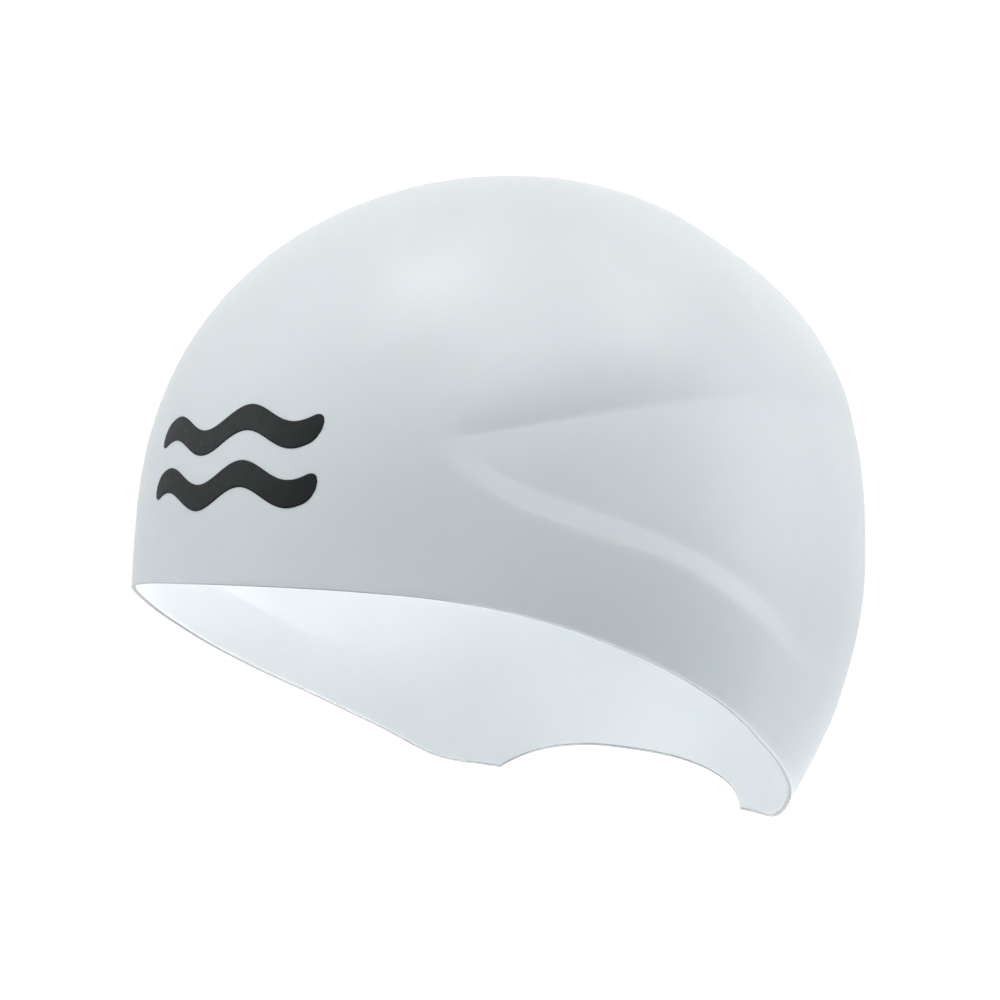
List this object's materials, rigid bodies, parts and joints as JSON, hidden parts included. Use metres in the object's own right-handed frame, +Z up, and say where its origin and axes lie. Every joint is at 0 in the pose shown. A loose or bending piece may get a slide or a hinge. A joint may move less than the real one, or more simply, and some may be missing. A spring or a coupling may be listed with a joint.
{
  "type": "swim cap",
  "caption": "Moulded silicone racing swim cap: a smooth dome with a swept free edge, a scooped flow panel on each side and an arch cut in the edge at the nape.",
  "frame": {"origin": "inside of the crown, where the cap sits on the top of the head", "axes": "+Z up out of the crown, -Y towards the forehead, +X towards the wearer's left"},
  "size_m": [0.1656, 0.1901, 0.1579],
  "materials": {
    "silicone": "white moulded silicone with a soft satin skin",
    "print_ink": "black silicone ink, satin"
  },
  "bodies": {
    "root": {"cap_shell": "silicone"}
  },
  "joints": []
}
